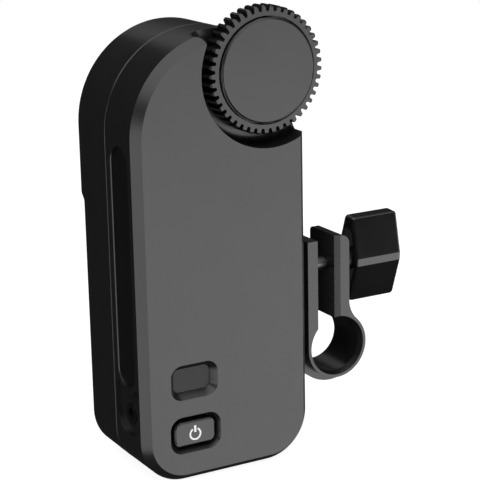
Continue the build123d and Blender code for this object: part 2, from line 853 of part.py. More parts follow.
def small_screw(place, seat_y, direction):
    """Pan head screw of the boards and the motor: its seat and the way its shank points along Y."""
    head_end = seat_y - direction * board_head_height
    shank_end = seat_y + direction * board_screw_length
    head = rod_y(board_head_radius, min(seat_y, head_end), max(seat_y, head_end), place)
    return head + rod_y(board_screw_radius, min(seat_y, shank_end), max(seat_y, shank_end), place)


def motor_screws():
    return [small_screw(place, plate_end_y, -1) for place in motor_screw_places()]


def sensor_board():
    """Board with the angle sensor's chip facing the magnet."""
    board = block(
        (-sensor_board_width / 2, sensor_board_y, sensor_board_bottom),
        (sensor_board_width / 2, sensor_board_end_y, sensor_board_top),
    )
    board += block(
        (-sensor_chip / 2, sensor_chip_y, -sensor_chip / 2), (sensor_chip / 2, sensor_board_y, sensor_chip / 2)
    )
    for place in sensor_screw_places():
        board -= rod_y(board_screw_radius + screw_clearance, sensor_board_y, sensor_board_end_y, place)
    return board


# Board, battery, window and button

def circuit_board():
    board = block((board_left_x, board_y, board_bottom_z), (board_right_x, board_end_y, board_top_z))
    board &= front_slab(case_outline(case_wall + lip_thickness), board_y, board_end_y)
    for place in case_screw_places:
        board -= rod_y(case_boss_radius + boss_gap, board_y, board_end_y, place)
    for place in board_screw_places:
        board -= rod_y(board_screw_radius + screw_clearance, board_y, board_end_y, place)
    return board


def board_screws():
    """The identical small screws of the main board and the sensor board."""
    screws = [small_screw(place, board_end_y, -1) for place in board_screw_places]
    return screws + [small_screw(place, sensor_board_y, 1) for place in sensor_screw_places()]


def battery():
    size = (battery_width, battery_height)
    return rounded_slab(battery_centre, size, battery_corner_radius, battery_y, battery_end_y)


def battery_tray():
    """Shallow tray on the rear wall that holds the cell."""
    inner = [side + 2 * tray_clearance for side in (battery_width, battery_height)]
    outer = [side + 2 * tray_wall for side in inner]
    start_y = battery_end_y - tray_rim_height
    tray = rounded_slab(battery_centre, outer, battery_corner_radius + tray_wall, start_y, tray_end_y)
    return tray - rounded_slab(battery_centre, inner, battery_corner_radius, start_y, battery_end_y)


def status_window():
    """Dark pane that fills the straight part of the upper well."""
    inset = window_well_slope[0] + window_clearance
    size = [side - 2 * inset for side in window_well_size]
    radius = window_well_corner_radius - inset
    return rounded_slab(window_well_centre, size, radius, window_y, window_floor_y)


def light_guide():
    """Clear bar that brings the lamp's light to the window."""
    return rod_y(guide_radius, window_floor_y, board_y - led_height - led_gap, window_well_centre)


def status_led():
    x, z = window_well_centre
    half = led_size / 2
    return block((x - half, board_y - led_height, z - half), (x + half, board_y, z + half))


def power_button():
    """Button cap with a bevelled front and the stem that reaches the switch."""
    start_y = front_y + button_inset
    end_y = start_y + button_thickness
    cap = rounded_slab(button_well_centre, button_size, button_corner_radius, start_y, end_y)
    cap = chamfer(cap.faces().sort_by(Axis.Y)[0].edges(), button_bevel)
    stem_end = board_y - switch_height - plunger_show
    return cap + rod_y(button_stem_radius, end_y, stem_end, button_well_centre)


def switch_plunger():
    start_y = board_y - switch_height - plunger_show
    return rod_y(plunger_radius, start_y, start_y + plunger_show + plunger_inside, button_well_centre)


def key_switch():
    """Square push switch on the board, open for its plunger."""
    x, z = button_well_centre
    half = switch_size / 2
    start_y = board_y - switch_height
    body = block((x - half, start_y, z - half), (x + half, board_y, z + half))
    room_end = start_y + plunger_inside + button_travel + plunger_room
    return body - rod_y(plunger_radius + plunger_clearance, start_y, room_end, button_well_centre)


# Left side

def side_inlay():
    start_x = case_left + pocket_depth - inlay_thickness
    return side_slab(long_pocket_outline(inlay_clearance), start_x, case_left + pocket_depth)


def jack_socket():
    """Round nose in the side wall and the body behind it on the board."""
    nose_x = case_left + jack_pocket_depth - jack_proud
    body_x = case_left + case_wall
    end_x = nose_x + jack_body_length
    socket = rod_along_x(jack_flange_radius, nose_x, body_x, jack_y, jack_z)
    half = jack_body_width / 2
    socket += block((body_x, board_y - 2 * board_to_jack, jack_z - half), (end_x, board_y, jack_z + half))
    return socket - rod_along_x(jack_hole_radius, nose_x, nose_x + jack_hole_depth, jack_y, jack_z)


# Rod clamp

def clamp_outline():
    """Front view of the ring with its two jaws and the slit between them."""
    left_jaw_height = left_jaw_top_z - rod_z
    right_jaw_height = right_jaw_top_z - rod_z
    left_jaw = Pos((left_jaw_x + slit_left_x) / 2, rod_z + left_jaw_height / 2)
    right_jaw = Pos((slit_right_x + jaw_right_x) / 2, rod_z + right_jaw_height / 2)
    outline = Pos(rod_x, rod_z) * Circle(ring_radius)
    outline += left_jaw * Rectangle(left_jaw_width, left_jaw_height)
    outline += right_jaw * Rectangle(right_jaw_width, right_jaw_height)
    neck_z = rod_z + sqrt(ring_radius ** 2 - (jaw_right_x - rod_x) ** 2)
    outline = fillet(near(outline, (jaw_right_x, neck_z)), neck_radius)
    outline = fillet(near(outline, (jaw_right_x, right_jaw_top_z)), jaw_corner_radius)
    slit = Pos((slit_left_x + slit_right_x) / 2, rod_z + right_jaw_height / 2)
    outline -= slit * Rectangle(slit_width, right_jaw_height + 1)
    return outline - Pos(rod_x, rod_z) * Circle(bore_radius)


def clamp_foot_outline():
    """Front view of the foot between the case and the left jaw, rounded below about the ring."""
    height = left_jaw_top_z - rod_z
    foot_middle = Pos((case_right + slit_left_x) / 2, rod_z + height / 2)
    foot = foot_middle * Rectangle(slit_left_x - case_right, height)
    lower = Pos(rod_x, rod_z) * Circle(foot_radius)
    width = rod_x + foot_end - case_right
    below = Pos(case_right + width / 2, rod_z - foot_radius / 2) * Rectangle(width, foot_radius)
    bridge = Pos((case_right + left_jaw_x) / 2, rod_z - foot_radius / 4)
    foot += (lower & below) + bridge * Rectangle(left_jaw_x - case_right, foot_radius / 2)
    return foot - Pos(rod_x, rod_z) * Circle(bore_radius)


def clamp_side_view():
    """Side view of the clamp's depth, with its upper rear corner rounded."""
    bottom_z = rod_z - foot_radius
    outline = make_face(Polyline(
        (clamp_front_y, bottom_z),
        (clamp_end_y, bottom_z),
        (clamp_end_y, right_jaw_top_z),
        (clamp_front_y, right_jaw_top_z),
        close=True,
    ))
    return fillet(near(outline, (clamp_end_y, right_jaw_top_z)), jaw_rear_radius)


def rod_clamp():
    clamp = front_slab(clamp_outline(), clamp_front_y, clamp_end_y)
    clamp += front_slab(clamp_foot_outline(), clamp_front_y + foot_setback, clamp_end_y)
    clamp &= side_slab(clamp_side_view(), case_right, rod_x + foot_radius)
    mouth = Pos(rod_x, clamp_front_y + mouth_chamfer_depth / 2, rod_z) * Rot(90, 0, 0)
    clamp -= mouth * Cone(bore_radius, bore_radius + mouth_chamfer_width, mouth_chamfer_depth)
    edge = Polyline(
        (slit_right_x, clamp_front_y),
        (slit_right_x + jaw_chamfer, clamp_front_y),
        (slit_right_x, clamp_front_y + jaw_chamfer),
        close=True,
    )
    clamp -= extrude(Plane.XY.offset(rod_z + bore_radius) * make_face(edge), right_jaw_top_z - rod_z)
    thread = clamp_screw_radius + thread_clearance
    clamp -= rod_along_x(thread, left_jaw_x, slit_left_x, clamp_middle_y, clamp_screw_z)
    clear_hole = clamp_screw_radius + screw_clearance
    clamp -= rod_along_x(clear_hole, slit_right_x, jaw_right_x, clamp_middle_y, clamp_screw_z)
    for z in foot_screw_places_z:
        hole = foot_screw_radius + thread_clearance
        hole_end = case_right + foot_screw_depth + screw_end_gap
        clamp -= rod_along_x(hole, case_right, hole_end, foot_screw_y, z)
    return clamp


def foot_screws():
    """Screws from inside the case that hold the clamp's foot."""
    screws = []
    for z in foot_screw_places_z:
        seat_x = case_right - case_wall
        head_x = seat_x - foot_screw_head_height
        head = rod_along_x(foot_screw_head_radius, head_x, seat_x, foot_screw_y, z)
        shank = rod_along_x(foot_screw_radius, seat_x, case_right + foot_screw_depth, foot_screw_y, z)
        screws.append(head + shank)
    return screws


def case_screws():
    """Screws from the rear that join the two halves of the case."""
    screws = []
    for place in case_screw_places:
        seat_y = rear_face_y(place) - case_screw_head_depth
        head = rod_y(case_screw_head_radius, seat_y, seat_y + case_screw_head_height, place)
        shank = rod_y(case_screw_radius, seat_y - case_screw_length, seat_y, place)
        screws.append(head + shank)
    return screws


# Clamp screw and wing knob

def clamp_screw():
    end_x = knob_x + insert_depth - insert_end_wall - screw_end_gap
    start_x = left_jaw_x + clamp_screw_end_gap
    return rod_along_x(clamp_screw_radius, start_x, end_x, clamp_middle_y, clamp_screw_z)


def thrust_washer():
    washer = rod_along_x(washer_radius, washer_x, washer_end_x, clamp_middle_y, clamp_screw_z)
    hole = clamp_screw_radius + 2 * fit_clearance
    return washer - rod_along_x(hole, washer_x, washer_end_x, clamp_middle_y, clamp_screw_z)


def knob_insert():
    """Metal sleeve in the knob, whose neck rests on the washer."""
    end_x = knob_x + insert_depth
    sleeve = rod_along_x(insert_radius, washer_end_x + washer_gap, end_x, clamp_middle_y, clamp_screw_z)
    hole = clamp_screw_radius + fit_clearance
    return sleeve - rod_along_x(hole, washer_x, end_x - insert_end_wall, clamp_middle_y, clamp_screw_z)


def wing_knob():
    """Flat wing with a raised band along its middle, thinner towards its two ends."""
    half_height = knob_height / 2
    half_band = knob_band_height / 2
    half_thickness = knob_thickness / 2
    half_end = knob_end_thickness / 2
    quarter = [(half_thickness, half_band), (half_end, half_height)]
    section = quarter + [(-y, z) for y, z in reversed(quarter)]
    section += [(-y, -z) for y, z in section]
    wing = side_slab(make_face(Polyline(*section, close=True)), knob_x, knob_end_x)
    ends = wing.faces().sort_by(Axis.X)
    wing = chamfer(ends[0].edges() + ends[-1].edges(), knob_bevel)
    wing = Pos(0, clamp_middle_y, clamp_screw_z) * Rot(knob_tilt, 0, 0) * wing
    hole = insert_radius + fit_clearance
    return wing - rod_along_x(hole, knob_x, knob_x + insert_depth, clamp_middle_y, clamp_screw_z)


def write_parts():
    """Builds every piece, moves it to the rod's axis and writes it."""
    pieces = {
        "front_shell": front_shell(),
        "rear_shell": rear_shell(),
        "case_screws": case_screws(),
        "focus_gear": focus_gear(),
        "gear_cap": gear_cap(),
        "gear_screw": gear_screw(),
        "gear_shaft": gear_shaft(),
        "front_bearing": ball_bearing(front_bearing_radius, front_bearing_width, front_bearing_y),
        "rear_bearing": ball_bearing(rear_bearing_radius, rear_bearing_width, cover_y),
        "output_wheel": output_wheel(),
        "encoder_magnet": encoder_magnet(),
        "gearbox_plate": gearbox_plate(),
        "gearbox_cover": gearbox_cover(),
        "gearbox_screws": gearbox_screws(),
        "idler_gear": idler_gear(),
        "idler_pin": idler_pin(),
        "motor_pinion": motor_pinion(),
        "motor_shaft": motor_shaft(),
        "motor_can": motor_can(),
        "motor_screws": motor_screws(),
        "sensor_board": sensor_board(),
        "circuit_board": circuit_board(),
        "board_screws": board_screws(),
        "battery": battery(),
        "battery_tray": battery_tray(),
        "status_window": status_window(),
        "light_guide": light_guide(),
        "status_led": status_led(),
        "power_button": power_button(),
        "switch_plunger": switch_plunger(),
        "key_switch": key_switch(),
        "side_inlay": side_inlay(),
        "jack_socket": jack_socket(),
        "rod_clamp": rod_clamp(),
        "foot_screws": foot_screws(),
        "clamp_screw": clamp_screw(),
        "thrust_washer": thrust_washer(),
        "knob_insert": knob_insert(),
        "wing_knob": wing_knob(),
    }
    os.makedirs("parts", exist_ok=True)
    for name, piece in pieces.items():
        solids = piece if isinstance(piece, list) else [piece]
        placed = Compound(children=[s for shape in solids for s in (row_place * shape).solids()])
        export_step(placed, f"parts/{name}.step")
        print(name, len(placed.solids()), round(placed.volume, 1))


write_parts()
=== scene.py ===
# %% [markdown]
# # A motorised focus module
#
# A small battery-powered motor for a camera rig. A split clamp holds it on a rod beside the lens, and its
# toothed wheel turns the focus ring of the lens. Nearly every surface is black, so this lesson is about one
# question: how does black plastic still show its shape? The answer is gloss. The colour stays almost black,
# and the soft lights that the surface mirrors draw the faces and edges.
#
# The shapes come from a fixed model, one object for each piece, and get their finishes here. Four pieces are
# shown by a worked copy with finer edges, and the white mark on the button is modelled on top.

# %% Load the model
import math

import bmesh
import bpy
from mathutils import Euler, Matrix, Vector


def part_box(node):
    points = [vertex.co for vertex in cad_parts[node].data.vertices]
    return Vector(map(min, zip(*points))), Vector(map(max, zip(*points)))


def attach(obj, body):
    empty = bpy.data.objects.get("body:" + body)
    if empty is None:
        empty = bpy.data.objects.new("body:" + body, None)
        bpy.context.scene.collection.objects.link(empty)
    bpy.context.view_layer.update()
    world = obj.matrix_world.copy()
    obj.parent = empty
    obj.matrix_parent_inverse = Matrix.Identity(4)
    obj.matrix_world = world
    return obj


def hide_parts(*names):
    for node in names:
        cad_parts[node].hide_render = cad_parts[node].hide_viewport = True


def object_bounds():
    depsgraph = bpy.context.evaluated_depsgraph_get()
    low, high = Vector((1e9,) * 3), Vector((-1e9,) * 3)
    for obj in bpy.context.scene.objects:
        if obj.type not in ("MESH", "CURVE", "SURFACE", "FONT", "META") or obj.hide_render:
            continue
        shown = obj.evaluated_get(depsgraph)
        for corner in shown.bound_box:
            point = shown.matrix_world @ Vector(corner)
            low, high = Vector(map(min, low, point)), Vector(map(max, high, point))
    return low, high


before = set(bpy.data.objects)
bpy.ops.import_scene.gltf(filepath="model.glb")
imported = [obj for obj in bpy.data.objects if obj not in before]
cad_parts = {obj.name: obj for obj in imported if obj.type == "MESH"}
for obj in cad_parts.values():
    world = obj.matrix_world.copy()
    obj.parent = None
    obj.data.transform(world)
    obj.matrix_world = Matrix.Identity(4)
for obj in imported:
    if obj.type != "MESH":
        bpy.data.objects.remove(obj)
MM = 0.001
model_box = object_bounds()
model_size = model_box[1] - model_box[0]
print("pieces:", len(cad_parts), "size in mm:", [round(length / MM, 1) for length in model_size])

# %% [markdown]
# ## Shader arithmetic that reads like arithmetic
#
# A finish is mostly masks: a grain here, a little more wear there. Wiring each Math node by hand hides the
# idea, so one small class stands for an output socket and lets Python's own signs add the nodes. The
# reflected forms let a plain number come first, as in 1 - wear.

# %% A socket that can be added and multiplied
class Signal:
    """An output socket. Plus, minus, times and greater-than on it add Math nodes."""

    def __init__(self, wiring, socket):
        self.wiring = wiring
        self.socket = socket

    def combined(self, operation, first, second):
        made = self.wiring.node("ShaderNodeMath", {"operation": operation}, {0: first, 1: second})
        return Signal(self.wiring, made.outputs[0])

    def __add__(self, other):
        return self.combined("ADD", self, other)

    def __radd__(self, other):
        return self.combined("ADD", other, self)

    def __sub__(self, other):
        return self.combined("SUBTRACT", self, other)

    def __rsub__(self, other):
        return self.combined("SUBTRACT", other, self)

    def __mul__(self, other):
        return self.combined("MULTIPLY", self, other)

    def __rmul__(self, other):
        return self.combined("MULTIPLY", other, self)

    def __gt__(self, other):
        return self.combined("GREATER_THAN", self, other)


# %% [markdown]
# ## One way to add a node
#
# Every other node is added the same way: first its settings, which decide what sockets it has, and then the
# values and links of those sockets. One method does that for materials and for the world, so the rest of the
# lesson names only what differs.

# %% The one method that adds nodes
class Wiring:
    """A node tree under construction, of a material or of the world."""

    def __init__(self, tree):
        self.tree = tree

    def node(self, kind, settings=None, sockets=None):
        """Adds a node: first its settings, then the values or links of its sockets."""
        made = self.tree.nodes.new(kind)
        for name, value in (settings or {}).items():
            setattr(made, name, value)
        for name, value in (sockets or {}).items():
            self.feed(made.inputs[name], value)
        return made

    def feed(self, socket, value):
        """Gives a socket a link where the value comes from a node, and a constant otherwise."""
        source = value.socket if isinstance(value, Signal) else value
        if isinstance(source, bpy.types.NodeSocket):
            self.tree.links.new(source, socket)
        else:
            socket.default_value = source

    def ray_kind(self, name):
        """1 for rays of that kind and 0 for all others."""
        return Signal(self, self.node("ShaderNodeLightPath").outputs[name])


# %% [markdown]
# ## A finish and its patterns
#
# A real surface is mottled at several sizes: the pebble of the mould, the marks of a tool and the wear of
# hands. Two textures make them, soft noise and a cell pattern, both laid out in the object's own coordinates
# so that they keep their real size on every piece. Colours are mixed by a Mix node, because a Math node would
# turn them grey.

# %% One finish
class Finish(Wiring):
    """A material under construction, with its shader ready."""

    def __init__(self, name):
        self.material = bpy.data.materials.new(name)
        self.material.use_nodes = True
        super().__init__(self.material.node_tree)
        self.shader = self.tree.nodes["Principled BSDF"]
        self.place = self.node("ShaderNodeTexCoord").outputs["Object"]

    def noise(self, feature, detail=2.0, stretch=(1.0, 1.0, 1.0)):
        """Soft noise whose blobs are about `feature` metres across."""
        mapped = self.node("ShaderNodeMapping", None, {"Vector": self.place, "Scale": stretch})
        sockets = {"Vector": mapped.outputs[0], "Scale": 1 / feature, "Detail": detail}
        return Signal(self, self.node("ShaderNodeTexNoise", None, sockets).outputs["Fac"])

    def grain(self, feature):
        """Tiny rounded pits or pebbles, about `feature` metres across."""
        sockets = {"Vector": self.place, "Scale": 1 / feature}
        return Signal(self, self.node("ShaderNodeTexVoronoi", None, sockets).outputs["Distance"])

    def between(self, mask, low, high):
        """A colour that goes from low to high with the mask."""
        mixed = self.node("ShaderNodeMix", {"data_type": "RGBA"}, {0: mask, 6: low, 7: high})
        return mixed.outputs[2]

    def bumped(self, height, depth):
        """A Bump node's normal for relief `depth` metres deep."""
        return self.node("ShaderNodeBump", None, {"Height": height, "Distance": depth}).outputs["Normal"]

    def shade(self, **sockets):
        """Sets the shader's sockets, named with underscores for spaces."""
        for name, value in sockets.items():
            self.feed(self.shader.inputs[name.replace("_", " ")], value)
        return self.material


# %% [markdown]
# ## Greys as the screen shows them
#
# A picture gives a grey as a number between 0 and 255, but light adds up on another scale. The standard
# screen curve turns the first into the second. Black plastic lies low on that curve, where a few steps on
# the screen are a very small amount of light.

# %% A neutral colour
def grey(level):
    """A neutral colour from a screen value between 0 and 255."""
    share = level / 255
    linear = share / 12.92 if share <= 0.04045 else ((share + 0.055) / 1.055) ** 2.4
    return (linear, linear, linear, 1.0)


print("screen grey 21 is", round(grey(21)[0], 4), "as light, and 96 is", round(grey(96)[0], 4))

# %% [markdown]
# ## The black finishes
#
# Moulded plastic takes the texture of its steel mould, which is etched to a fine even pebble. It shows only
# as a softer gloss, and close up as tiny bumps. Handling polishes it a little in places, so its roughness
# drifts slowly. One recipe serves every black piece. What differs is how dark, how rough and how coarse it
# is, and those are the numbers that a mould maker would name too.

# %% Moulded and coated black
WEAR_SIZE = 9 * MM
WEAR_IN_COLOUR = 0.7
DARKER = 3
LIGHTER = 4
ROUGHNESS_DRIFT = 0.06
PEBBLE_ROUGHNESS = 0.03
WEAR_RELIEF = 0.2


def black_finish(name, level, roughness, pebble, relief=0.002 * MM, specular=0.5):
    """A black surface: pebble is the grain's size in metres, relief its depth."""
    finish = Finish(name)
    fine = finish.grain(pebble)
    wear = finish.noise(WEAR_SIZE, detail=3.0)
    mottle = wear * WEAR_IN_COLOUR + fine * (1 - WEAR_IN_COLOUR)
    return finish.shade(
        Base_Color=finish.between(mottle, grey(level - DARKER), grey(level + LIGHTER)),
        Roughness=roughness - ROUGHNESS_DRIFT / 2 + wear * ROUGHNESS_DRIFT + fine * PEBBLE_ROUGHNESS,
        Specular_IOR_Level=specular,
        Normal=finish.bumped(fine + wear * WEAR_RELIEF, relief),
    )


shell_black = black_finish("shell_black", level=21, roughness=0.29, pebble=0.34 * MM)
gear_black = black_finish("gear_black", level=22, roughness=0.3, pebble=0.26 * MM)
cap_black = black_finish("cap_black", level=21, roughness=0.29, pebble=0.3 * MM)
clamp_black = black_finish("clamp_black", level=18, roughness=0.26, pebble=0.18 * MM)
knob_black = black_finish("knob_black", level=18, roughness=0.14, pebble=0.3 * MM, relief=0.0005 * MM)
button_black = black_finish("button_black", level=22, roughness=0.3, pebble=0.22 * MM)
print("black finishes outside:", shell_black.name, clamp_black.name, knob_black.name)

# %% [markdown]
# ## Darker inlays
#
# The strip in the side, the pad in the upper well and the jack are duller plastics that mirror less than the
# case, and they sit in hollows. The same recipe serves, with a lower specular level, so that they stay
# darker than the case round them. The last of the three is also on the battery's tray and the plunger inside.

# %% Plastics that mirror less
inlay_black = black_finish("inlay_black", level=11, roughness=0.34, pebble=0.3 * MM, specular=0.35)
window_dark = black_finish(
    "window_dark", level=14, roughness=0.3, pebble=0.5 * MM, relief=0.001 * MM, specular=0.24
)
plastic_dark = black_finish("plastic_dark", level=9, roughness=0.42, pebble=0.3 * MM, specular=0.35)
print("darker plastics:", inlay_black.name, window_dark.name, plastic_dark.name)

# %% [markdown]
# ## The metals
#
# Turned steel carries fine marks that run round the bar, and plate carries faint rolling marks. Noise that
# is drawn out along one way gives both, and the way is chosen for each metal. The marks go into the
# roughness and a very small bump, and slow tarnish darkens the metal in patches. Most of it is inside the
# case, where nobody looks until it is opened.

# %% Metals
TARNISH_SIZE = 6 * MM
TARNISHED = 0.72
MARKS = 0.12 * MM
MARK_ROUGHNESS = 0.12
TARNISH_ROUGHNESS = 0.06
MARK_DEPTH = 0.002 * MM


def metal_finish(name, colour, roughness, stretch):
    """Bare metal with fine marks drawn out along one way."""
    finish = Finish(name)
    scratches = finish.noise(MARKS, detail=4.0, stretch=stretch)
    tarnish = finish.noise(TARNISH_SIZE, detail=3.0)
    dark = tuple(TARNISHED * part for part in colour)
    return finish.shade(
        Base_Color=finish.between(tarnish, (*dark, 1.0), (*colour, 1.0)),
        Metallic=1.0,
        Roughness=roughness + scratches * MARK_ROUGHNESS + tarnish * TARNISH_ROUGHNESS,
        Normal=finish.bumped(scratches, MARK_DEPTH),
    )


steel = metal_finish("steel", (0.45, 0.46, 0.47), roughness=0.36, stretch=(1.0, 0.06, 1.0))
screw_black = metal_finish("screw_black", (0.07, 0.07, 0.072), roughness=0.34, stretch=(1.0, 0.06, 1.0))
# painted shade: this steel is darker than the steel inside only to stand in for the shade between the clamp's
# jaws
clamp_screw_painted_shade = metal_finish("clamp_screw_painted_shade", (0.2, 0.2, 0.205), roughness=0.34, stretch=(0.06, 1.0, 1.0))
brass = metal_finish("brass", (0.78, 0.6, 0.3), roughness=0.26, stretch=(0.1, 1.0, 1.0))
plate_aluminium = metal_finish(
    "plate_aluminium", (0.7, 0.71, 0.72), roughness=0.34, stretch=(0.05, 1.0, 1.0)
)
print("metals:", steel.name, clamp_screw_painted_shade.name, brass.name, plate_aluminium.name)

# %% [markdown]
# ## Plastic gears, circuit board, cell and status light
#
# What is left inside is simple: white gears, green lacquer over copper, the wrap of the cell and a clear
# lens. Each is a surface between two near colours, mottled at one size, which is enough for pieces that are
# seen only when the case is open.

# %% White plastic, circuit board, cell and status light
MOTTLE_ROUGHNESS = 0.1
MOTTLE_DEPTH = 0.004 * MM


def plain_finish(name, dark, light, roughness, feature):
    """A surface between two colours, mottled at one size."""
    finish = Finish(name)
    mottle = finish.noise(feature, detail=3.0)
    return finish.shade(
        Base_Color=finish.between(mottle, (*dark, 1.0), (*light, 1.0)),
        Roughness=roughness - MOTTLE_ROUGHNESS / 2 + mottle * MOTTLE_ROUGHNESS,
        Normal=finish.bumped(mottle, MOTTLE_DEPTH),
    )


plastic_white = plain_finish("plastic_white", (0.6, 0.59, 0.56), (0.7, 0.69, 0.66), 0.45, 3 * MM)
board_green = plain_finish("board_green", (0.012, 0.1, 0.035), (0.02, 0.15, 0.05), 0.32, 1.5 * MM)
cell_blue = plain_finish("cell_blue", (0.05, 0.12, 0.3), (0.07, 0.16, 0.38), 0.38, 8 * MM)
led_white = plain_finish("led_white", (0.72, 0.7, 0.58), (0.82, 0.8, 0.7), 0.3, 0.6 * MM)
print("finishes inside:", plastic_white.name, board_green.name, cell_blue.name, led_white.name)

# %% [markdown]
# ## Dress the model
#
# Every piece of the model comes with a plain material that is named for its finish. Blender adds a number
# to a second material of the same name, so that number is cut off before the names are compared. The clamp
# screw is the one piece that departs from its finish: its steel is painted darker, as painted shade for the
# shade it sits in between the jaws.

# %% Give every piece of the model its finish
def slot_name(material):
    """The name of a finish without the number that Blender adds to a second one."""
    return material.name.split(".")[0]


finishes = {
    "shell_black": shell_black,
    "gear_black": gear_black,
    "cap_black": cap_black,
    "clamp_black": clamp_black,
    "knob_black": knob_black,
    "button_black": button_black,
    "inlay_black": inlay_black,
    "window_dark": window_dark,
    "plastic_dark": plastic_dark,
    "plastic_white": plastic_white,
    "steel": steel,
    "screw_black": screw_black,
    "brass": brass,
    "plate_aluminium": plate_aluminium,
    "board_green": board_green,
    "cell_blue": cell_blue,
    "led_white": led_white,
}
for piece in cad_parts.values():
    for place in piece.material_slots:
        place.material = finishes[slot_name(place.material)]
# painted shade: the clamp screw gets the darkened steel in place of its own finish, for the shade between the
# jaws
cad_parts["clamp_screw"].material_slots[0].material = clamp_screw_painted_shade
print("finished pieces:", len(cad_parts), "finishes:", len(finishes))

# %% [markdown]
# ## From a bmesh to a piece
#
# A new piece is shaped as a bmesh and then made an object that stays at the origin, with its place in its
# mesh. It gets its finish and is parented to an empty named for the moving body it belongs to.

# %% A finished bmesh becomes a piece
def piece_from(shape, name, material, body):
    """Turns a finished bmesh into an object that rides on a body of the model."""
    mesh = bpy.data.meshes.new(name)
    shape.to_mesh(mesh)
    shape.free()
    piece = bpy.data.objects.new(name, mesh)
    bpy.context.scene.collection.objects.link(piece)
    mesh.materials.append(material)
    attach(piece, body)
    print(name, "faces:", len(mesh.polygons))
    return piece


# %% [markdown]
# ## Fine edges
#
# No moulded or milled edge is perfectly sharp. The tool leaves a tiny radius, and on a black part that radius
# is what draws the outline, because it is the only place that turns far enough to mirror a lamp. The rear
# half's edge at the seam and the knob get one here. Each is a copy of the model's piece: its loose triangles
# are merged, flat areas become one face again, and the chosen edges take a bevel of the real width. The copy
# stands in for the plain piece, which stays untouched. Weighted normals keep the wide faces flat.

# %% A copy of a piece that can be worked on
SAME_PLACE = 0.0005 * MM
FLAT = math.radians(0.6)
SHARP_EDGE = math.radians(33)
ON_PLANE = 0.01 * MM


def merged_copy(node):
    """The triangles of a node as one closed skin with whole flat faces."""
    shape = bmesh.new()
    shape.from_mesh(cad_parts[node].data)
    bmesh.ops.remove_doubles(shape, verts=shape.verts, dist=SAME_PLACE)
    bmesh.ops.dissolve_limit(shape, angle_limit=FLAT, verts=shape.verts, edges=shape.edges)
    print(node, "merged, edges:", len(shape.edges))
    return shape


def outer_edges(shape):
    """The sharp edges that stick out."""
    sharp = [edge for edge in shape.edges if edge.is_manifold and edge.is_convex]
    return [edge for edge in sharp if edge.calc_face_angle() > SHARP_EDGE]


# %% Bevel a copy and let it stand in
def rounded(shape, edges, radius, segments, clamped=True):
    """Rounds these edges. Unclamped, the bevel keeps its width past short edges that it meets."""
    bmesh.ops.bevel(
        shape,
        geom=edges,
        offset=radius,
        offset_type="OFFSET",
        affect="EDGES",
        segments=segments,
        profile=0.5,
        material=-1,
        clamp_overlap=clamped,
    )
    print("rounded edges:", len(edges), "radius in mm:", round(radius / MM, 2))


def stand_in(node, shape, body, crease=SHARP_EDGE):
    """Lets the worked copy stand in for the node. Edges above the crease angle stay crisp."""
    for face in shape.faces:
        face.smooth = True
    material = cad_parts[node].material_slots[0].material
    piece = piece_from(shape, node + "_edged", material, body)
    piece.data.set_sharp_from_angle(angle=crease)
    weighting = piece.modifiers.new("flat faces", "WEIGHTED_NORMAL")
    weighting.keep_sharp = True
    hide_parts(node)


# %% [markdown]
# ## The edge at the seam
#
# The model's rear half is a hair smaller than the front one all round. In the photograph a thin light line
# runs along the seam, and only an edge that comes up as far as its neighbour can catch that light. So the
# copy's outline is first scaled to the front half's size, which leaves the wall a slight draft, as a mould
# gives it. The outline is found by walking: from its leftmost edge on to every sharp edge in the same plane
# that hangs together with it. That leaves out the many sharp edges inside the case in the same plane.

# %% Find the outline in the seam plane
seam_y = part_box("front_shell")[1].y


def joined_to(first, edges):
    """The edges that hang together with the first one, as the outline of the case does."""
    waiting, found = [first], {first}
    while waiting:
        for corner in waiting.pop().verts:
            fresh = [edge for edge in corner.link_edges if edge in edges and edge not in found]
            found.update(fresh)
            waiting.extend(fresh)
    return list(found)


def in_seam_plane(edge):
    """True for an edge that lies where the two halves of the case meet."""
    return all(abs(corner.co.y - seam_y) < ON_PLANE for corner in edge.verts)


rear = merged_copy("rear_shell")
at_seam = {edge for edge in outer_edges(rear) if in_seam_plane(edge)}
leftmost = min(at_seam, key=lambda edge: edge.verts[0].co.x)
outline = joined_to(leftmost, at_seam)
print("sharp edges in the seam plane:", len(at_seam), "of them in the outline:", len(outline))

# %% Bring the outline up to the front half and bevel it
SEAM_BEVEL = 0.45 * MM
outline_corners = list({corner for edge in outline for corner in edge.verts})
rear_low, rear_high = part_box("rear_shell")
rear_middle = (rear_low + rear_high) / 2
front_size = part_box("front_shell")[1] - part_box("front_shell")[0]
rear_size = rear_high - rear_low
bmesh.ops.scale(
    rear,
    vec=(front_size.x / rear_size.x, 1.0, front_size.z / rear_size.z),
    space=Matrix.Translation(-rear_middle),
    verts=outline_corners,
)
rounded(rear, outline, SEAM_BEVEL, segments=1, clamped=False)
stand_in("rear_shell", rear, "case")

# %% [markdown]
# ## The knob
#
# The wing knob is moulded hard plastic with clearly rounded edges, and each of them mirrors its own thin line
# of light. Four segments are enough for a radius of half a millimetre. The bevel is clamped, which keeps it
# from running over itself at the knob's corners, though it leaves some triangles of no area there. A low
# crease angle keeps the wide faces even in tone.

# %% The knob's edges
KNOB_RADIUS = 0.5 * MM
KNOB_CREASE = math.radians(13)
knob = merged_copy("wing_knob")
rounded(knob, outer_edges(knob), KNOB_RADIUS, segments=4)
stand_in("wing_knob", knob, "knob", crease=KNOB_CREASE)

# %% [markdown]
# ## Slimmer bevels on the cap and the button
#
# Seen close, the disc in the gear and the power button have narrower bevels than the model gave them, with
# a short upright wall below. Two moves on a merged copy make that: the bevel's outer line comes forward, and
# the front face grows until the bevel is as wide as it is deep again.

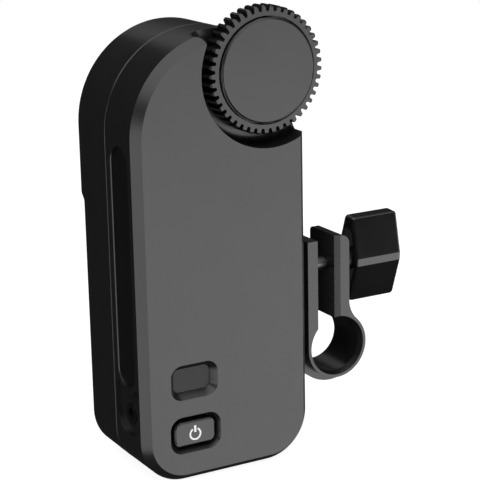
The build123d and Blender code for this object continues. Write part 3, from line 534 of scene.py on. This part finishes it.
# %% Bring the bevels to their real width
def slimmer_bevel(node, made, wanted, body):
    """Narrows the front bevel of a piece from the width it was made with to the wanted one."""
    shape = merged_copy(node)
    low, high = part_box(node)
    middle = (low + high) / 2
    half = (high - low) / 2
    front = [corner for corner in shape.verts if corner.co.y < low.y + ON_PLANE]
    line = [corner for corner in shape.verts if abs(corner.co.y - low.y - made) < ON_PLANE]
    wider = (half.x - wanted) / (half.x - made)
    taller = (half.z - wanted) / (half.z - made)
    bmesh.ops.scale(shape, vec=(wider, 1.0, taller), space=Matrix.Translation(-middle), verts=front)
    bmesh.ops.translate(shape, vec=(0, wanted - made, 0), verts=line)
    print(node, "front corners:", len(front), "bevel line corners:", len(line))
    stand_in(node, shape, body)


slimmer_bevel("gear_cap", made=0.9 * MM, wanted=0.55 * MM, body="drive")
slimmer_bevel("power_button", made=1.0 * MM, wanted=0.5 * MM, body="button")

# %% [markdown]
# ## The power mark
#
# The button carries the usual power sign, a broken ring with a bar, printed in white ink. A print is too
# thin for a solid of its own, so it is a skin of ink two hundredths of a millimetre thick. The ring is one
# small rectangle spun most of the way round, and the bar is a block. Real geometry keeps its edge sharp at
# any distance.

# %% Ink and measures of the power sign
INK = 0.02 * MM
SIGN_RADIUS = 1.7 * MM
SIGN_LINE = 0.55 * MM
SIGN_GAP = math.radians(56)
SIGN_DROP = 0.35 * MM
BAR_LINE = 0.7 * MM
BAR_LENGTH = 2.1 * MM
BAR_RISE = 1.6 * MM
ARC_STEPS = 48
INK_SPECKLE = 0.2 * MM
INK_DARK = 232
INK_LIGHT = 248
INK_ROUGHNESS = 0.5
button_low, button_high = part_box("power_button")
sign_centre = (button_low + button_high) / 2
sign_centre.y = button_low.y - INK / 2
sign_centre.z -= SIGN_DROP

ink = Finish("ink_white")
speckle = ink.noise(INK_SPECKLE)
ink_white = ink.shade(
    Base_Color=ink.between(speckle, grey(INK_DARK), grey(INK_LIGHT)),
    Roughness=INK_ROUGHNESS + speckle * MOTTLE_ROUGHNESS,
)
print("sign centre in mm:", [round(part / MM, 2) for part in sign_centre])

# %% The broken ring
ring = bmesh.new()
bmesh.ops.create_grid(ring, x_segments=1, y_segments=1, size=0.5)
bmesh.ops.scale(ring, vec=(SIGN_LINE, INK, 1.0), verts=ring.verts)
bmesh.ops.translate(ring, vec=sign_centre + Vector((SIGN_RADIUS, 0, 0)), verts=ring.verts)
to_gap_edge = Matrix.Rotation(SIGN_GAP / 2 - math.radians(90), 3, "Y")
bmesh.ops.rotate(ring, cent=sign_centre, matrix=to_gap_edge, verts=ring.verts)
bmesh.ops.spin(
    ring,
    geom=ring.faces[:],
    cent=sign_centre,
    axis=(0, 1, 0),
    angle=math.tau - SIGN_GAP,
    steps=ARC_STEPS,
)
bmesh.ops.recalc_face_normals(ring, faces=ring.faces)
piece_from(ring, "power_sign_ring", ink_white, "button")

# %% The bar
bar = bmesh.new()
bmesh.ops.create_cube(bar, size=1.0)
bmesh.ops.scale(bar, vec=(BAR_LINE, INK, BAR_LENGTH), verts=bar.verts)
bmesh.ops.translate(bar, vec=sign_centre + Vector((0, 0, BAR_RISE)), verts=bar.verts)
piece_from(bar, "power_sign_bar", ink_white, "button")

# %% [markdown]
# ## The floor
#
# Black gloss shows its surroundings, so the studio is the other half of the finish. The floor is a plain pale
# disc just under the module. Its material is white to the camera, and its matt share takes the module's soft
# shadow. It also gives white to the rays that leave polished metal or glass, but the floor is hidden from
# mirror rays, and it casts no shadow, because the front and left lamps reach below it. With the floor in
# the mirror rays, the dark left side of the case would turn grey and the front face would lose a part of its
# light.

# %% Floor
FLOOR_RADIUS = 0.9
FLOOR_SIDES = 96
FLOOR_GAP = 0.2 * MM
FLOOR_MATT = (0.25, 0.25, 0.25, 1.0)
FLOOR_WHITE = 0.91
floor_level = model_box[0].z
floor_shape = bmesh.new()
bmesh.ops.create_circle(floor_shape, cap_ends=True, segments=FLOOR_SIDES, radius=FLOOR_RADIUS)
bmesh.ops.translate(floor_shape, vec=(0, 0, floor_level - FLOOR_GAP), verts=floor_shape.verts)
floor_mesh = bpy.data.meshes.new("floor")
floor_shape.to_mesh(floor_mesh)
floor_shape.free()
floor = bpy.data.objects.new("floor", floor_mesh)
bpy.context.scene.collection.objects.link(floor)
floor.visible_glossy = False
floor.visible_shadow = False
print("floor level in mm:", round(floor_level / MM, 2))

# %% The floor's material
pale = Finish("floor_pale")
seen = pale.ray_kind("Is Camera Ray") + pale.ray_kind("Is Glossy Ray") + pale.ray_kind("Is Transmission Ray")
matt = pale.node("ShaderNodeBsdfDiffuse", None, {"Color": FLOOR_MATT})
white = pale.node("ShaderNodeEmission", None, {"Strength": seen * FLOOR_WHITE})
both = pale.node("ShaderNodeAddShader", None, {0: matt.outputs[0], 1: white.outputs[0]})
pale.feed(pale.tree.nodes["Material Output"].inputs["Surface"], both.outputs[0])
floor_mesh.materials.append(pale.material)
print("the floor's nodes:", len(pale.tree.nodes))

# %% [markdown]
# ## The studio round the module
#
# The background is white because the camera's own rays see white there. Rays that leave polished metal or
# glass see it only within twelve degrees of the photograph's viewing direction, as if a sheet of that size
# hung behind the object. A sheet all round would turn the black flanks grey. Everywhere else the studio is
# nearly black to mirror rays and dim to the rest, which keeps the flanks as deep as in the photograph.

# %% World
SHEET_REACH = math.radians(12)
STUDIO_DIFFUSE = 0.14
STUDIO_GLOSSY = 0.02
PHOTO_ANGLES = (74.611, 1.1695, -29.4827)
photo_turn = Euler([math.radians(angle) for angle in PHOTO_ANGLES], "XYZ")
ahead = photo_turn.to_matrix() @ Vector((0, 0, -1))
world = bpy.data.worlds.new("studio")
bpy.context.scene.world = world
world.use_nodes = True
studio = Wiring(world.node_tree)
direction = studio.node("ShaderNodeTexCoord").outputs["Generated"]
along = studio.node("ShaderNodeVectorMath", {"operation": "DOT_PRODUCT"}, {0: direction, 1: ahead})
sheet = Signal(studio, along.outputs["Value"]) > math.cos(SHEET_REACH)
from_camera = studio.ray_kind("Is Camera Ray")
mirrored = studio.ray_kind("Is Glossy Ray") + studio.ray_kind("Is Transmission Ray")
in_mirrors = sheet * (1 - STUDIO_GLOSSY) + STUDIO_GLOSSY
scattered = (1 - from_camera) * (1 - mirrored)
level = from_camera + mirrored * in_mirrors + scattered * STUDIO_DIFFUSE
background = world.node_tree.nodes["Background"]
studio.feed(background.inputs["Color"], (1.0, 1.0, 1.0, 1.0))
studio.feed(background.inputs["Strength"], level)
print("photograph's direction:", [round(part, 3) for part in ahead])

# %% [markdown]
# ## Soft lamps
#
# Wide soft panels stand in front, on the left and overhead, and the front face, its slanted rim and the fine
# edges mirror them. Four weaker ones, two high and one low behind the module and one on its right, keep the
# other sides readable. A panel's glow is the brightness that a mirror would show, so its energy follows from
# its size.

# %% Soft panels
def panel(name, azimuth, elevation, distance, width, height, glow):
    """A soft rectangular lamp. Azimuth 0 is straight in front and grows to the object's left."""
    centre = (model_box[0] + model_box[1]) / 2
    turn = Euler((math.radians(90 - elevation), 0, -math.radians(azimuth)), "XYZ")
    lamp = bpy.data.lights.new(name, "AREA")
    lamp.shape = "RECTANGLE"
    lamp.size = width
    lamp.size_y = height
    lamp.energy = glow * math.pi * width * height
    holder = bpy.data.objects.new(name, lamp)
    holder.rotation_euler = turn
    holder.location = centre + turn.to_matrix() @ Vector((0, 0, distance))
    holder.visible_camera = False
    bpy.context.scene.collection.objects.link(holder)
    print(name, "at", [round(part, 2) for part in holder.location])


panel("front_panel", azimuth=-29, elevation=-19.6, distance=1.2, width=2.0, height=0.82, glow=3.0)
panel("left_panel", azimuth=70, elevation=-15, distance=1.2, width=0.85, height=1.0, glow=2.3)
panel("over_panel", azimuth=28, elevation=67, distance=1.2, width=2.6, height=1.5, glow=2.1)
panel("back_panel", azimuth=-151, elevation=36, distance=1.3, width=1.0, height=0.5, glow=0.4)
panel("high_panel", azimuth=160, elevation=62, distance=1.3, width=0.8, height=0.6, glow=1.0)
panel("right_panel", azimuth=-88, elevation=-12, distance=1.3, width=0.9, height=0.5, glow=1.3)
panel("rear_panel", azimuth=-161, elevation=-14, distance=1.3, width=0.7, height=0.5, glow=1.3)

# %% [markdown]
# ## The camera
#
# The photograph was taken from about half a metre, a little above the module and from its left. Those
# numbers come from the object itself: the gear, the rod hole and the case corners have to fall on the right
# places of the picture, and only one camera does that.

# %% Camera at the photograph's angle
PHOTO_PLACE = (-0.274435, -0.43899, 0.174942)
PHOTO_LENS = 129.65
FILM_WIDTH = 36.0
HALF_PIXEL = 0.5 / 480
camera_data = bpy.data.cameras.new("camera")
camera_data.lens = PHOTO_LENS
camera_data.sensor_width = FILM_WIDTH
camera_data.shift_x = -HALF_PIXEL
camera_data.shift_y = HALF_PIXEL
camera = bpy.data.objects.new("camera", camera_data)
camera.location = PHOTO_PLACE
camera.rotation_euler = photo_turn
bpy.context.scene.collection.objects.link(camera)
bpy.context.scene.camera = camera
bpy.context.scene.view_settings.view_transform = "Standard"
print("camera distance in mm:", round((camera.location - (model_box[0] + model_box[1]) / 2).length / MM))
